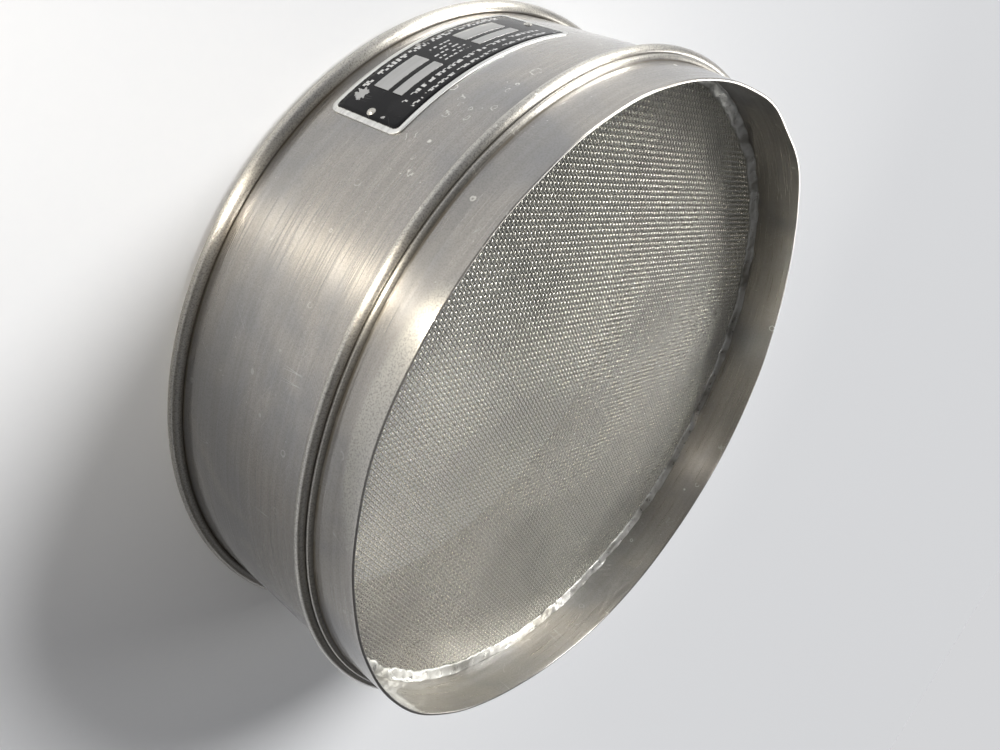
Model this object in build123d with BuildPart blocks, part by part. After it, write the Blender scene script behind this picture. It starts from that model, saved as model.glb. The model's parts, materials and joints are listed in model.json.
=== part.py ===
"""Test sieve: a spun steel body, a skirt that nests in the next sieve, wire cloth, its solder and a pinned nameplate.

The sieve stands on its rolled rim with the skirt upward. The axis is Z, the rim's face is at Z = 0 and
the nameplate faces -Y. All sizes are in millimetres.
"""
import os
from math import radians, sin, sqrt

from build123d import *

# Sheet and nesting
sheet = 0.76                # stainless sheet of the body and the skirt
bore_radius = 101.7         # inside of the body, which takes the skirt of the sieve above
nest_clearance = 0.5        # radial room between a skirt and the bore it enters

# Body
body_height = 56.2          # rim face to the top of the bead
rim_roll_radius = 1.95      # outside of the rolled rim's section
bead_roll_radius = 1.45     # outside of the bead's section
rim_roll_sweep = 298        # degrees that the rim's roll turns, starting at the bore
bead_roll_sweep = 290       # degrees that the bead's roll turns, starting at the bore
seat_depth = 4.2            # top of the bead down to where the bore starts to open
seat_flare = 0.1            # the bore opens this much from there to the bead

# Skirt
skirt_height = 14.79        # middle of the lip to the skirt's free edge
neck_length = 1.5           # middle of the lip to the end inside the bore
lip_reach = 1.55            # how far the folded lip stands out from the skirt
lip_clearance = 0.03        # between the lip and the bead it seats against
lip_root = 0.3              # fillet where the lip meets the skirt
edge_break = 0.1            # rounding of the skirt's free edge

# Wire cloth
cloth_thickness = 0.82      # two wires, one over the other
cloth_web = 0.2             # wall between the ridges
cloth_border = 4.6          # plain band that the solder grips
ridge_pitch = 4.0           # ridges stand for bundles of wires
ridge_width = 1.4
gap_span = 3                # valleys that a square gap spans, cutting the ridges between them
gap_every = 4               # valleys from one gap to the next

# Solder that seals the cloth to both rings
solder_film = 0.15          # between the neck's end and the cloth
solder_on_cloth = 3.2       # reach over the cloth inside the skirt
solder_on_skirt = 1.1       # height up the inside of the skirt, from the neck's end
bowl_solder_leg = 1.4       # leg of the fillet on the bowl's side

# Nameplate
plate_thickness = 0.35
plate_height = 24.8
plate_arc = 35.8            # degrees round the wall
plate_from_rim = 7.8        # rim face to the plate's near edge
plate_corner = 2.6
plate_border = 1.4
plate_relief = 0.15         # border and value panels stand proud of the field
panel_width = 14.5
panel_gap = 12.9            # between the left and right value panels
large_panel_height = 5.1
small_panel_height = 3.2
panel_spacing = 1.7         # between a large panel and the small one beside it
panel_offset = 1.6          # panels sit this much nearer the rim than the plate's middle

# Drive pins that hold the nameplate
pin_arc = 31.7              # degrees between the two pins
pin_shank_radius = 0.6
pin_head_radius = 1.2
pin_head_height = 0.6
pin_clearance = 0.03        # round the shank, in the plate and in the wall

# Sizes that follow from the ones above
wall_radius = bore_radius + sheet
rim_roll_center = (bore_radius + rim_roll_radius, rim_roll_radius)
bead_roll_center = (bore_radius + seat_flare + bead_roll_radius, body_height - bead_roll_radius)
seat_start = body_height - seat_depth
seat_radius = bore_radius + seat_flare
skirt_radius = bore_radius - nest_clearance
skirt_inner_radius = skirt_radius - sheet
lip_center_radius = skirt_radius + lip_reach - sheet
lip_to_bead = bead_roll_radius + sheet + lip_clearance
lip_middle = bead_roll_center[1] + sqrt(lip_to_bead**2 - (bead_roll_center[0] - lip_center_radius) ** 2)
neck_end = lip_middle - neck_length
overall_height = lip_middle + skirt_height
cloth_radius = skirt_radius
cloth_top = neck_end - solder_film
cloth_bottom = cloth_top - cloth_thickness
ridge_field = cloth_radius - cloth_border
solder_foot = cloth_bottom - bowl_solder_leg
solder_foot_radius = bore_radius + seat_flare * (solder_foot - seat_start) / (bead_roll_center[1] - seat_start)
plate_middle = plate_from_rim + plate_height / 2
plate_width = 2 * wall_radius * sin(radians(plate_arc / 2))
plate_skin = wall_radius + plate_thickness
head_curve_radius = (pin_head_radius**2 + pin_head_height**2) / (2 * pin_head_height)
pin_places = [Location((0, 0, plate_middle), (0, 0, -90 + side * pin_arc / 2)) for side in (-1, 1)]

os.makedirs("parts", exist_ok=True)

# Drive pin along X: a domed head on the plate's field, and a shank that ends flush in the body's bore
with BuildPart() as drive_pin:
    with BuildSketch(Plane.XZ):
        with BuildLine():
            axis_line = Line((bore_radius / 2, 0), (plate_skin + pin_head_height, 0))
            dome = RadiusArc(axis_line @ 1, (plate_skin, pin_head_radius), -head_curve_radius)
            Polyline(
                dome @ 1,
                (plate_skin, pin_shank_radius),
                (bore_radius / 2, pin_shank_radius),
                axis_line @ 0,
            )
        make_face()
    revolve(axis=Axis.X)
    Cylinder(bore_radius, 4 * pin_head_radius, mode=Mode.SUBTRACT)

# Hole for a drive pin, along X
with BuildPart() as pin_hole:
    with BuildSketch(Plane.YZ.offset(bore_radius / 2)):
        Circle(pin_shank_radius + pin_clearance)
    extrude(amount=bore_radius)

# Body: one sheet, rolled outward at the rim and, where the bore opens, again at the bead
with BuildPart() as frame_body:
    with BuildSketch(Plane.XZ):
        with BuildLine():
            inner_face = Polyline(
                (bore_radius, rim_roll_center[1]),
                (bore_radius, seat_start),
                (seat_radius, bead_roll_center[1]),
            )
            bead_outside = CenterArc(bead_roll_center, bead_roll_radius, 180, -bead_roll_sweep)
            bead_inside = CenterArc(bead_roll_center, bead_roll_radius - sheet, 180, -bead_roll_sweep)
            Line(bead_outside @ 1, bead_inside @ 1)
            Polyline(
                bead_inside @ 0,
                (wall_radius, seat_start),
                (wall_radius, rim_roll_center[1]),
            )
            rim_inside = CenterArc(rim_roll_center, rim_roll_radius - sheet, 180, rim_roll_sweep)
            rim_outside = CenterArc(rim_roll_center, rim_roll_radius, 180, rim_roll_sweep)
            Line(rim_inside @ 1, rim_outside @ 1)
        make_face()
    revolve(axis=Axis.Z)
    with Locations(*pin_places):
        add(pin_hole.part, mode=Mode.SUBTRACT)

# Skirt: a plain ring with a lip folded outward, seated on the bead, and a neck that enters the bore
with BuildPart() as skirt:
    with BuildSketch(Plane.XZ):
        with Locations(((skirt_inner_radius + skirt_radius) / 2, (neck_end + overall_height) / 2)):
            Rectangle(sheet, overall_height - neck_end)
        with BuildLine():
            lip_upper = Line((skirt_radius, lip_middle + sheet), (lip_center_radius, lip_middle + sheet))
            CenterArc((lip_center_radius, lip_middle), sheet, 90, -180)
            lip_lower = Line((lip_center_radius, lip_middle - sheet), (skirt_radius, lip_middle - sheet))
            Line(lip_lower @ 1, lip_upper @ 0)
        make_face()
    revolve(axis=Axis.Z)
    lip_roots = skirt.edges().filter_by(
        lambda edge: edge.geom_type == GeomType.CIRCLE
        and abs(edge.radius - skirt_radius) < sheet / 10
        and abs(edge.center().Z - lip_middle) < 1.1 * sheet
    )
    fillet(lip_roots, lip_root)
    free_edge = skirt.edges().group_by(Axis.Z)[-1]
    fillet(free_edge, edge_break)

# Wire cloth: a web with ridges along X on the skirt's side and along Y on the bowl's side, and square gaps
ridge_relief = (cloth_thickness - cloth_web) / 2
ridge_count = 2 * int((ridge_field - ridge_width / 2) / ridge_pitch + 0.5)
gap_size = gap_span * ridge_pitch - ridge_width
gap_pitch = gap_every * ridge_pitch
gap_rows = 2 * int(ridge_field / gap_pitch) + 1
gap_offsets = [(index - (gap_rows - 1) / 2) * gap_pitch for index in range(gap_rows)]
gap_reach = ridge_field - gap_size / sqrt(2)
gap_centers = [(x, y) for x in gap_offsets for y in gap_offsets if x * x + y * y < gap_reach * gap_reach]
with BuildPart() as wire_cloth:
    with BuildSketch(Plane.XY.offset(cloth_bottom)):
        Circle(cloth_radius)
        Circle(ridge_field, mode=Mode.SUBTRACT)
    extrude(amount=cloth_thickness)
    with BuildSketch(Plane.XY.offset(cloth_bottom + ridge_relief)):
        Circle(ridge_field)
    extrude(amount=cloth_web)
    with BuildSketch(Plane.XY.offset(cloth_bottom + ridge_relief + cloth_web)) as skirt_side:
        with GridLocations(0, ridge_pitch, 1, ridge_count):
            Rectangle(2 * ridge_field, ridge_width)
        Circle(ridge_field, mode=Mode.INTERSECT)
    extrude(amount=ridge_relief)
    with BuildSketch(Plane.XY.offset(cloth_bottom)) as bowl_side:
        with GridLocations(ridge_pitch, 0, ridge_count, 1):
            Rectangle(ridge_width, 2 * ridge_field)
        Circle(ridge_field, mode=Mode.INTERSECT)
    extrude(amount=ridge_relief)
    with BuildSketch(Plane.XY.offset(cloth_bottom)) as gaps:
        with Locations(*gap_centers):
            Rectangle(gap_size, gap_size)
    extrude(amount=cloth_thickness, mode=Mode.SUBTRACT)

# Solder: fills the joint round the edge of the cloth, with a fillet on the skirt's side and one in the bowl
with BuildPart() as solder_ring:
    with BuildSketch(Plane.XZ):
        with BuildLine():
            Polyline(
                (skirt_inner_radius - solder_on_cloth, cloth_top),
                (skirt_inner_radius, neck_end + solder_on_skirt),
                (skirt_inner_radius, neck_end),
                (skirt_radius, neck_end),
                (seat_radius, bead_roll_center[1]),
                (solder_foot_radius, solder_foot),
                (bore_radius - bowl_solder_leg, cloth_bottom),
                (cloth_radius, cloth_bottom),
                (cloth_radius, cloth_top),
                close=True,
            )
        make_face()
    revolve(axis=Axis.Z)

# Nameplate: a thin plate curved to the wall; its border and four value panels stand proud of the field
panels_height = large_panel_height + panel_spacing + small_panel_height
panels_low = plate_middle - panel_offset - panels_height / 2
large_panel_middle = panels_low + large_panel_height / 2
small_panel_middle = panels_low + panels_height - small_panel_height / 2
panel_pitch = panel_width + panel_gap
with BuildPart() as plate_field:
    with BuildSketch(Plane.XZ):
        with Locations((plate_skin + plate_relief / 2, plate_middle)):
            Rectangle(plate_relief, plate_height)
    revolve(axis=Axis.Z)
    with BuildSketch(Plane.XZ):
        with Locations((0, plate_middle)):
            inner_width = plate_width - 2 * plate_border
            inner_height = plate_height - 2 * plate_border
            RectangleRounded(inner_width, inner_height, plate_corner - plate_border)
        with Locations((0, large_panel_middle)):
            with GridLocations(panel_pitch, 0, 2, 1):
                Rectangle(panel_width, large_panel_height, mode=Mode.SUBTRACT)
        with Locations((0, small_panel_middle)):
            with GridLocations(panel_pitch, 0, 2, 1):
                Rectangle(panel_width, small_panel_height, mode=Mode.SUBTRACT)
    extrude(amount=2 * wall_radius, mode=Mode.INTERSECT)

with BuildPart() as nameplate:
    with BuildSketch(Plane.XZ):
        with Locations((wall_radius + (plate_thickness + plate_relief) / 2, plate_middle)):
            Rectangle(plate_thickness + plate_relief, plate_height)
    revolve(axis=Axis.Z)
    with BuildSketch(Plane.XZ):
        with Locations((0, plate_middle)):
            RectangleRounded(plate_width, plate_height, plate_corner)
    extrude(amount=2 * wall_radius, mode=Mode.INTERSECT)
    add(plate_field.part, mode=Mode.SUBTRACT)
    with Locations(*pin_places):
        add(pin_hole.part, mode=Mode.SUBTRACT)

with BuildPart() as rivet_left:
    with Locations(pin_places[0]):
        add(drive_pin.part)

with BuildPart() as rivet_right:
    with Locations(pin_places[1]):
        add(drive_pin.part)

frame_body.part.label = "frame_body"
skirt.part.label = "skirt"
wire_cloth.part.label = "wire_cloth"
solder_ring.part.label = "solder_ring"
nameplate.part.label = "nameplate"
rivet_left.part.label = "rivet_left"
rivet_right.part.label = "rivet_right"

export_step(frame_body.part, "parts/frame_body.step")
export_step(skirt.part, "parts/skirt.step")
export_step(wire_cloth.part, "parts/wire_cloth.step")
export_step(solder_ring.part, "parts/solder_ring.step")
export_step(nameplate.part, "parts/nameplate.step")
export_step(rivet_left.part, "parts/rivet_left.step")
export_step(rivet_right.part, "parts/rivet_right.step")
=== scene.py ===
"""Dresses the test sieve: spun steel, woven wire cloth, hand-run solder and an enamelled nameplate.

All sizes in the classes are in millimetres in the sieve's own frame: the axis is Z, the rolled rim stands on Z = 0,
the skirt is at the top and the nameplate faces -Y. Meshes are written in metres.
"""

import json
import logging
import math
from dataclasses import dataclass
from enum import Enum
from functools import partialmethod
from typing import Sequence, Union

import bmesh
import bpy
import numpy as np
from mathutils import Matrix, Vector

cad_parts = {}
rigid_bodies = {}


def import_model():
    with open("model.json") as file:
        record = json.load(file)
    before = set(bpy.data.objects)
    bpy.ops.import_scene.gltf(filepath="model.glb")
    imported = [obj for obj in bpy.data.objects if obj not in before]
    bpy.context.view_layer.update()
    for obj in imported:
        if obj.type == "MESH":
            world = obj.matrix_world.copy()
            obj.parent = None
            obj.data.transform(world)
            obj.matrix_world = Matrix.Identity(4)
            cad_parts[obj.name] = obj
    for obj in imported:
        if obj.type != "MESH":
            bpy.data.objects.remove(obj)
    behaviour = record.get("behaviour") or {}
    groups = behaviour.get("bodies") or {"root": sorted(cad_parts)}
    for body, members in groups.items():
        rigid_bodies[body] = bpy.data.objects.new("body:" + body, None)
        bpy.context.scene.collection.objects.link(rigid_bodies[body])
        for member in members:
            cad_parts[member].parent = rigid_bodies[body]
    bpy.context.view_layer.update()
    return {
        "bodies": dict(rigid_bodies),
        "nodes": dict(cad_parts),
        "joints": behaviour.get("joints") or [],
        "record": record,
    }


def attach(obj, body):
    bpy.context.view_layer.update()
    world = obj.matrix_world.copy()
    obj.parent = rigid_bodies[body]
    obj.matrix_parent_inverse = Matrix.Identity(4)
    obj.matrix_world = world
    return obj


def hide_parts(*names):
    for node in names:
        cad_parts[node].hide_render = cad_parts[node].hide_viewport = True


MM = 0.001
ARC_PER_DEGREE = 1.79  # millimetres of wall in a degree
BODY = "root"
log = logging.getLogger("sieve")

Array = np.ndarray
Colour = tuple[float, float, float]
Material, Object = bpy.types.Material, bpy.types.Object
Node, Socket, Tree = bpy.types.Node, bpy.types.NodeSocket, bpy.types.NodeTree
Feed = Union[Socket, float, tuple]


# Meshes

@dataclass
class Shell:
    """A closed surface: points in millimetres, four-cornered faces, and a flat place for each face corner."""

    points: Array
    faces: Array
    flat: Array


def grid_shell(points: Array, flat: Array, wrap_rows: bool, wrap_cols: bool) -> Shell:
    """Joins a grid of points into four-cornered faces.

    Args:
        points: rows by columns by 3, in millimetres.
        flat: rows by columns by 2, one row and column more where the grid wraps.
        wrap_rows: whether the last row joins the first.
        wrap_cols: whether the last column joins the first.

    Returns:
        The shell, whose faces run row by row.
    """
    rows, cols = points.shape[:2]
    row, col = np.meshgrid(
        np.arange(rows if wrap_rows else rows - 1), np.arange(cols if wrap_cols else cols - 1), indexing="ij"
    )
    corner_row = np.stack([row, row, row + 1, row + 1], -1).reshape(-1, 4)
    corner_col = np.stack([col, col + 1, col + 1, col], -1).reshape(-1, 4)
    faces = (corner_row % rows) * cols + corner_col % cols
    return Shell(points.reshape(-1, 3), faces, flat[corner_row, corner_col].reshape(-1, 2))


def make_piece(name: str, shells: Sequence[Shell], weld: float = 0.0) -> Object:
    """Puts shells into one smooth mesh object at the origin.

    Args:
        name: the object's name.
        shells: the surfaces that make the piece.
        weld: points nearer than this, in millimetres, become one; 0 leaves them.

    Returns:
        The linked object.
    """
    starts = np.cumsum([0] + [len(shell.points) for shell in shells[:-1]])
    points = np.concatenate([shell.points for shell in shells]) * MM
    faces = np.concatenate([shell.faces + start for shell, start in zip(shells, starts)])
    flat = np.concatenate([shell.flat for shell in shells])
    mesh = bpy.data.meshes.new(name)
    mesh.vertices.add(len(points))
    mesh.vertices.foreach_set("co", points.astype(np.float32).ravel())
    mesh.loops.add(faces.size)
    mesh.loops.foreach_set("vertex_index", faces.astype(np.int32).ravel())
    mesh.polygons.add(len(faces))
    mesh.polygons.foreach_set("loop_start", np.arange(0, faces.size, 4, dtype=np.int32))
    mesh.update(calc_edges=True)
    mesh.uv_layers.new(name="flat").data.foreach_set("uv", flat.astype(np.float32).ravel())
    if weld:
        work = bmesh.new()
        work.from_mesh(mesh)
        bmesh.ops.remove_doubles(work, verts=work.verts, dist=weld * MM)
        bmesh.ops.recalc_face_normals(work, faces=work.faces)
        work.to_mesh(mesh)
        work.free()
    mesh.validate()
    mesh.polygons.foreach_set("use_smooth", np.ones(len(mesh.polygons), bool))
    mesh.update()
    piece = bpy.data.objects.new(name, mesh)
    bpy.context.scene.collection.objects.link(piece)
    return piece


def install(piece: Object, node: str, material: Material) -> None:
    """Dresses a piece, puts it in place of a solid and reports it.

    Args:
        piece: the new object.
        node: the solid that it stands for.
        material: its finish.
    """
    piece.data.materials.clear()
    piece.data.materials.append(material)
    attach(piece, BODY)
    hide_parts(node)
    piece.data.calc_loop_triangles()
    log.info("%s stands for %s, %d triangles", piece.name, node, len(piece.data.loop_triangles))


def arc_points(center: tuple[float, float], radius: float, start: float, sweep: float, count: int) -> Array:
    """Points on an arc: the center plus the radius times the cosine and sine of evenly stepped angles.

    Args:
        center: radius and height of the arc's center.
        radius: radius of the arc.
        start: first angle, in degrees.
        sweep: signed degrees turned.
        count: how many points.

    Returns:
        count by 2 array of radius and height.
    """
    angle = np.radians(start + sweep * np.linspace(0, 1, count))
    return np.stack([center[0] + radius * np.cos(angle), center[1] + radius * np.sin(angle)], -1)


def line_points(start: tuple[float, float], end: tuple[float, float], count: int) -> Array:
    """Points strictly between two ends, evenly spaced, as a count by 2 array."""
    share = (np.arange(count) + 1) / (count + 1)
    return np.array(start) + share[:, None] * (np.array(end) - np.array(start))


def ease(value: Array, low: float, high: float) -> Array:
    """Smooth step: 0 below low, 1 above high, and three times the square less twice the cube between."""
    share = np.clip((value - low) / (high - low), 0, 1)
    return share * share * (3 - 2 * share)


def full_turn(steps: int) -> Array:
    """Azimuths in radians of evenly spaced steps round the axis."""
    return np.arange(steps) * 2 * np.pi / steps


def bell(angle: Array, at: float, wide: float) -> Array:
    """One narrow swell round the turn: e to the minus square of the degrees away from a place over a width."""
    away = np.degrees(np.angle(np.exp(1j * (angle - np.radians(at)))))
    return np.exp(-((away / wide) ** 2))


def polar(radius: Array, angle: Array, height: Array) -> Array:
    """Points round the axis: the radius times the cosine and sine of the azimuth, and the height."""
    return np.stack(np.broadcast_arrays(radius * np.cos(angle), radius * np.sin(angle), height), -1)


def ripple(angle: Array, orders: Sequence[int], seed: int) -> Array:
    """Closed random wave round the axis: a sum of cosines of the given orders with seeded phases and strengths.

    Args:
        angle: azimuths in radians.
        orders: waves round the full turn.
        seed: picks the phases.

    Returns:
        Values of about unit spread.
    """
    chance = np.random.default_rng(seed)
    phases = chance.uniform(0, 2 * np.pi, len(orders))
    strengths = chance.uniform(0.5, 1, len(orders))
    waves = strengths[:, None] * np.cos(np.outer(orders, angle.ravel()) + phases[:, None])
    return (waves.sum(0) * math.sqrt(2 / np.sum(strengths**2))).reshape(angle.shape)


def turned(profile: Array, steps: int, push: "Array | None" = None) -> Shell:
    """Carries a closed profile round the axis.

    Each point is the profile's radius, plus an optional push, times the cosine and sine of the azimuth, at the
    profile's height. The flat place holds the length along the profile first, so its first axis lies across the turn.

    Args:
        profile: points by 2, radius and height, closed.
        steps: divisions of the full turn.
        push: points by steps, added to the radius.

    Returns:
        The closed ring.
    """
    following = np.roll(profile, -1, 0)
    if np.sum(profile[:, 0] * following[:, 1] - following[:, 0] * profile[:, 1]) > 0:
        profile = profile[::-1]
        push = None if push is None else push[::-1]
    points = polar(profile[:, :1] + (0 if push is None else push), full_turn(steps), profile[:, 1:])
    length = np.r_[0, np.cumsum(np.linalg.norm(np.roll(profile, -1, 0) - profile, axis=1))] / 100
    share = np.linspace(0, 1, steps + 1)
    flat = np.stack(np.broadcast_arrays(length[:, None], share[None, :]), -1)
    return grid_shell(points, flat, True, True)


# Node sheets

class Sheet:
    """A node tree with short ways to add and feed nodes."""

    def __init__(self, tree: Tree) -> None:
        """Keeps the tree."""
        self.tree = tree

    def feed(self, socket: Socket, value: Feed) -> None:
        """Links a socket to an input, or sets its constant."""
        if isinstance(value, Socket):
            self.tree.links.new(value, socket)
        elif isinstance(value, tuple) and len(value) == 3 and socket.type == "RGBA":
            socket.default_value = (*value, 1)
        else:
            socket.default_value = value

    def add(self, kind: str, inputs: "dict | None" = None, **settings: object) -> Node:
        """Adds a node.

        Args:
            kind: the shader node's type, without its prefix.
            inputs: what feeds its inputs, by name or number.
            **settings: its properties.

        Returns:
            The node.
        """
        node = self.tree.nodes.new(f"ShaderNode{kind}")
        for name, value in settings.items():
            setattr(node, name, value)
        for key, value in (inputs or {}).items():
            self.feed(node.inputs[key], value)
        return node

    def use(self, group: Tree, **inputs: Feed) -> Sequence[Socket]:
        """Places a shared effect.

        Args:
            group: which effect.
            **inputs: what feeds it, with underscores for spaces.

        Returns:
            The group's outputs.
        """
        named = {label.replace("_", " "): value for label, value in inputs.items()}
        return self.add("Group", named, node_tree=group).outputs

    def calc(self, operation: str, *values: Feed) -> Socket:
        """Adds a Math node and returns its result."""
        return self.add("Math", dict(enumerate(values)), operation=operation).outputs[0]

    # the commonest sums
    plus, less = partialmethod(calc, "ADD"), partialmethod(calc, "SUBTRACT")
    times, over = partialmethod(calc, "MULTIPLY"), partialmethod(calc, "DIVIDE")
    times_plus = partialmethod(calc, "MULTIPLY_ADD")
    most, size = partialmethod(calc, "MAXIMUM"), partialmethod(calc, "ABSOLUTE")

    def vector(self, operation: str, *values: Feed) -> Socket:
        """Adds a Vector Math node and returns its vector."""
        return self.add("VectorMath", dict(enumerate(values)), operation=operation).outputs[0]

    def scaled(self, place: Feed, factor: Feed) -> Socket:
        """Multiplies a vector by one value."""
        return self.add("VectorMath", {0: place, "Scale": factor}, operation="SCALE").outputs[0]

    def spin(self, place: Feed, angle: float) -> Socket:
        """Turns a vector round Z by an angle in radians."""
        return self.add("VectorRotate", {0: place, "Angle": angle}, rotation_type="Z_AXIS").outputs[0]

    def compose(self, x: Feed, y: Feed, z: Feed) -> Socket:
        """Makes a vector of three values."""
        return self.add("CombineXYZ", {0: x, 1: y, 2: z}).outputs[0]

    def split(self, vector: Feed) -> Sequence[Socket]:
        """Returns the three values of a vector."""
        return self.add("SeparateXYZ", {0: vector}).outputs

    def remap(self, value: Feed, low: float, high: float, to_low: Feed = 0.0, to_high: Feed = 1.0) -> Socket:
        """Maps a value smoothly from one range to another, clamped."""
        inputs = {"Value": value, "From Min": low, "From Max": high, "To Min": to_low, "To Max": to_high}
        return self.add("MapRange", inputs, interpolation_type="SMOOTHSTEP").outputs[0]

    def mix(self, share: Feed, first: Feed, second: Feed) -> Socket:
        """Mixes two colours."""
        return self.add("Mix", {0: share, 6: first, 7: second}, data_type="RGBA").outputs[2]

    def noise(self, place: Feed, scale: Feed, detail: float = 2.0, rough: float = 0.5, warp: float = 0.0) -> Socket:
        """Adds a noise and returns its value."""
        inputs = {"Vector": place, "Scale": scale, "Detail": detail, "Roughness": rough, "Distortion": warp}
        return self.add("TexNoise", inputs).outputs[0]

    def cells(self, place: Feed, scale: Feed) -> Node:
        """Adds a cell texture."""
        return self.add("TexVoronoi", {"Vector": place, "Scale": scale})

    def where(self) -> Socket:
        """Returns the object's own coordinates."""
        return self.add("TexCoord").outputs["Object"]

    def finish(
        self, shader: Node, colour: Feed, roughness: Feed, relief: Feed, depth: float = MM, **others: Feed
    ) -> None:
        """Feeds a Principled shader.

        Args:
            shader: the shader.
            colour: its base colour.
            roughness: its roughness.
            relief: the bump's height.
            depth: how many metres a relief of 1 stands for.
            **others: more of its inputs, with underscores for spaces.
        """
        bump = self.add("Bump", {"Height": relief, "Distance": depth, "Strength": 1.0}).outputs[0]
        for label, value in {"Base_Color": colour, "Roughness": roughness, "Normal": bump, **others}.items():
            self.feed(shader.inputs[label.replace("_", " ")], value)


class Group:
    """A shader node group under construction."""

    def __init__(
        self, name: str, vector: str, floats: dict[str, float], outputs: Sequence[str], vectors: Sequence[str] = ()
    ) -> None:
        """Makes the group's sockets.

        Args:
            name: the group's name.
            vector: its vector input.
            floats: its value inputs and where they start.
            outputs: its value outputs.
            vectors: its vector outputs.
        """
        self.tree = bpy.data.node_groups.new(name, "ShaderNodeTree")
        new_socket = self.tree.interface.new_socket
        new_socket(name=vector, in_out="INPUT", socket_type="NodeSocketVector")
        for label, value in floats.items():
            new_socket(name=label, in_out="INPUT", socket_type="NodeSocketFloat").default_value = value
        for label in (*outputs, *vectors):
            kind = "NodeSocketVector" if label in vectors else "NodeSocketFloat"
            new_socket(name=label, in_out="OUTPUT", socket_type=kind)
        self.sheet = Sheet(self.tree)
        self.given = self.tree.nodes.new("NodeGroupInput").outputs
        self.result = self.tree.nodes.new("NodeGroupOutput").inputs

    def give(self, **values: Feed) -> Tree:
        """Feeds the group's outputs, by name, and returns its tree."""
        for label, value in values.items():
            self.sheet.feed(self.result[label], value)
        return self.tree


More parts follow.
